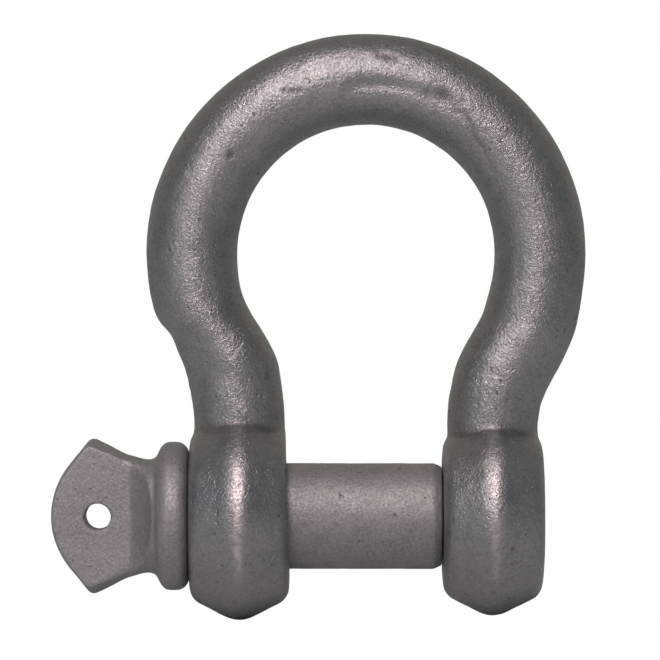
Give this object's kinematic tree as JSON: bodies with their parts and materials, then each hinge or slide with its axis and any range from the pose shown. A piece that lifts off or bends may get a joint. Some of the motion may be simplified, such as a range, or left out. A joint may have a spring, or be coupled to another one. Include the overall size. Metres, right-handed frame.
{
  "type": "bow shackle",
  "caption": "Forged galvanised bow shackle: a round-bar bow with ridged eyes, and a screw pin with a collar and a drilled spade head that closes the jaw.",
  "frame": {"origin": "on the pin's axis, midway between the eyes", "axes": "+X along the pin from its head to the threaded eye, +Z from the jaw to the crown, Y across the plane of the bow"},
  "size_m": [0.1133, 0.044, 0.1242],
  "materials": {
    "galvanised_bow": "hot-dip galvanised, dull and pebbled",
    "galvanised_pin": "hot-dip galvanised, dull and pebbled",
    "bare_steel": "forged, never seen"
  },
  "bodies": {
    "bow": {"bow": "galvanised_bow"},
    "pin_carrier": {"pin_core": "bare_steel"},
    "pin": {"screw_pin": "galvanised_pin"}
  },
  "joints": [
    {"name": "pin_feed", "type": "slide", "parent": "bow", "child": "pin_carrier", "axis": [-1, 0, 0], "range_m": [0, 0.0762]},
    {"name": "pin_turn", "type": "hinge", "parent": "pin_carrier", "child": "pin", "pos_m": [0, 0, 0], "axis": [-1, 0, 0], "range_deg": [0, 10800]}
  ],
  "couplings": [
    {"joint": "pin_feed", "follows": "pin_turn", "m_per_rad": 0.00040425}
  ]
}
